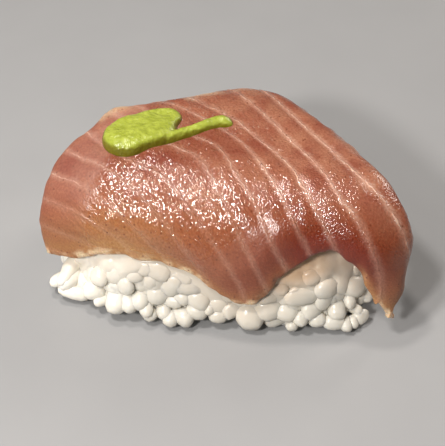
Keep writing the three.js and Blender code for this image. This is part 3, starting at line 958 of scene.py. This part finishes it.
# the pad: rings from its middle to its outline, height H (1 - r^n)^(1/2), with two shallow hollows
def dabPad():
    shape = dabShape
    middle = np.array(shape["middle"])
    out, turn = np.meshgrid(np.sin(np.linspace(0, math.pi / 2, 40)), np.linspace(0, 1, 161), indexing="ij")
    rim = through(shape["outline"], turn % 1, closed=True)
    flat = middle + (rim - middle) * out[..., None]
    hollow = sum(deep * spot(flat, *place) for *place, deep in shape["hollows"])
    full = shape["backHeight"] + (shape["frontHeight"] - shape["backHeight"]) * ramp(flat[..., 1], 5, -6)
    crest = np.sqrt(np.clip(1 - out ** shape["flatness"], 0, 1))
    return onSlice(flat, (full - hollow) * crest - shape["sunk"] * out ** 8)


# the tail: a half-round strip along its line, tapered to both ends
def dabTail():
    shape = dabShape
    evenly = np.linspace(0, math.pi, 60)
    t, w = np.meshgrid(0.5 - 0.5 * np.cos(evenly), np.linspace(math.pi, 0, 17), indexing="ij")
    line = through(shape["tail"], t)
    run = unit(np.gradient(line, axis=0))
    taper = rounded(t * shape["tailLength"], 1.0) * rounded((1 - t) * shape["tailLength"], 2.6)
    wide = (np.cos(w) * taper * shape["tailHalfWidth"] * (0.85 + 0.3 * t))[..., None]
    flat = line + wide * np.stack([run[..., 1], -run[..., 0]], -1)
    return onSlice(flat, (shape["tailHeight"] + shape["sunk"]) * taper * np.sin(w) ** 0.8 - shape["sunk"])


# the dab: pad and tail in one skin, softened, then lumpy all over; painted shade darkens it where it stands
# steep
def buildDab(material):
    points, faces, edges = fused([dabPad(), dabTail()], dabShape["voxel"])
    points = relaxed(points, edges, *dabShape["softening"])
    points[:, 2] += sum(height * noiseAt(points, size, seed) for height, size, seed in dabShape["lumps"])
    piece = makePiece("wasabiDab", points, faces.tolist(), material)
    steepness = readRows(piece.data.vertices, "normal", 3)[:, 2]
    # painted shade where the dab stands steep
    addAttributes(piece, {"flankShade": 0.95 * ramp(steepness, 0.8, 0.3)})
    return piece


view = {
    "around": 10.0,  # degrees to the right of the front
    "up": 45.0,  # degrees
    "distance": 260.0,
    "lens": 115.4,
    "middle": (1.0, 1.8, 12.0),  # what the camera stands off from
    "aim": (-0.45, -3.27),  # and how far to the right of it and above it the camera looks
}

# place, aim, width across, watts, colour, and whether it shows in the gloss
lamps = {
    "overhead": ((-115, -90, 363), (0, 0, 15), 48, 0.85, "#fff9f4", True),
    "overFront": ((-115, -280, 285), (0, 0, 15), 52, 1.15, "#fff9f4", True),
    "overBack": ((-70, 60, 380), (0, 0, 15), 40, 0.48, "#fff6ee", True),
    "window": ((-320, -280, 200), (-6, -4, 10), 600, 1.0, "#f8f6f3", False),
    "behind": ((260, 300, 260), (6, 0, 10), 200, 0.85, "#fff5ec", True),
    "fill": ((-60, -170, 380), (0, 0, 10), 400, 0.2, "#f8f6f3", False),
}

roomLight = {"colour": "#efebe4", "strength": 0.1}
floorLook = {"half": 600, "tones": ("#8d8e8f", "#939495"), "roughness": 0.6, "gap": 0.02}


# right, up and towards the viewer, as the camera stands
def seenAxes():
    around, up = math.radians(view["around"]), math.radians(view["up"])
    back = np.array([math.sin(around) * math.cos(up), -math.cos(around) * math.cos(up), math.sin(up)])
    right = np.array([math.cos(around), math.sin(around), 0])
    return right, np.cross(back, right), back


# the camera stands off the middle along the third axis
def buildCamera():
    right, upward, back = (Vector(axis) for axis in seenAxes())
    place = Vector(view["middle"]) + back * view["distance"]
    aim = Vector(view["middle"]) + right * view["aim"][0] + upward * view["aim"][1]
    data = bpy.data.cameras.new("camera")
    data.lens = view["lens"]
    data.clip_start = 0.01
    camera = bpy.data.objects.new("camera", data)
    camera.location = place * mm
    camera.rotation_euler = (aim - place).to_track_quat("-Z", "Y").to_euler()
    scene.collection.objects.link(camera)
    scene.camera = camera


# round lamps and a soft room; the broad lamps are kept out of the gloss
def buildLight():
    for name, (place, aim, size, power, colour, shines) in lamps.items():
        data = bpy.data.lights.new(name, "AREA")
        data.shape = "DISK"
        data.size = size * mm
        data.energy = power
        data.color = linear(colour)[:3]
        light = bpy.data.objects.new(name, data)
        light.visible_glossy = shines
        light.location = Vector(place) * mm
        light.rotation_euler = (Vector(aim) - Vector(place)).to_track_quat("-Z", "Y").to_euler()
        scene.collection.objects.link(light)
    world = bpy.data.worlds.new("softRoom")
    world.use_nodes = True
    background = world.node_tree.nodes["Background"]
    background.inputs["Color"].default_value = linear(roomLight["colour"])
    background.inputs["Strength"].default_value = roomLight["strength"]
    scene.world = world
    scene.view_settings.view_transform = "Standard"


# Painted table top, pale grey and matt, barely clouded
def paleTable(tree):
    place = addNode(tree, "TexCoord").outputs["Object"]
    cloud = addNode(tree, "TexNoise", {"Vector": place, "Scale": 60.0, "Detail": 2.0})
    tones = {0: cloud, 6: linear(floorLook["tones"][0]), 7: linear(floorLook["tones"][1])}
    paint = addNode(tree, "Mix", tones, data_type="RGBA")
    return {"Base Color": paint, "Roughness": floorLook["roughness"]}


# a square sheet just under the food
def buildFloor(material):
    half, z = floorLook["half"], restPoint[2] - floorLook["gap"]
    corners = np.array([(-half, -half, z), (half, -half, z), (half, half, z), (-half, half, z)])
    return makePiece("floor", corners, [(0, 1, 2, 3)], material)


buildCamera()
buildLight()
floor = buildFloor(makeMaterial("paleTable", paleTable))
print("stage set")
fishSlice, sliceUnder = buildSlice(makeMaterial("rawFish", rawFish))
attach(fishSlice, bodyName)
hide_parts("fish_slice")
print("slice made", len(fishSlice.data.polygons))
for ricePiece in buildRice(makeMaterial("cookedRice", cookedRice), sliceUnder):
    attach(ricePiece, bodyName)
    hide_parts("rice_bed")
    print("rice made", ricePiece.name, len(ricePiece.data.polygons))
wasabiDab = buildDab(makeMaterial("wasabiPaste", wasabiPaste))
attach(wasabiDab, bodyName)
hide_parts("wasabi_dab")
print("dab made", len(wasabiDab.data.polygons))
